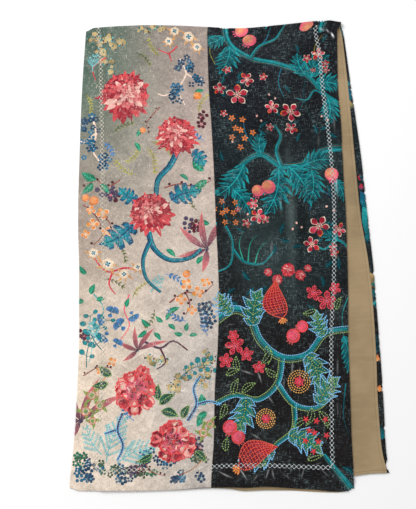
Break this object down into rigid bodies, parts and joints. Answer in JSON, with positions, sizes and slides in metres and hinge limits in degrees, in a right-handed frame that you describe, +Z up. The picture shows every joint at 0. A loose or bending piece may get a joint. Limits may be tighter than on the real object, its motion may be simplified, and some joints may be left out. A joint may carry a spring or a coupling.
{
  "type": "velvet scarf",
  "caption": "Long velvet scarf folded once and laid flat: a pale and a dark printed velvet panel sewn side by side, over one plain lining.",
  "frame": {"origin": "middle of the folded scarf's footprint, on the surface it lies on", "axes": "+Z up out of the surface, +Y along the scarf towards its folded edge, +X towards the dark panel's outer edge"},
  "size_m": [0.5864, 0.9422, 0.0115],
  "materials": {
    "velvet_pale": "printed velvet, beige ground",
    "velvet_dark": "printed velvet, black ground",
    "lining_cloth": "smooth khaki lining with a soft sheen"
  },
  "bodies": {
    "root": {"velvet_left": "velvet_pale", "velvet_right": "velvet_dark", "lining": "lining_cloth"}
  },
  "joints": []
}
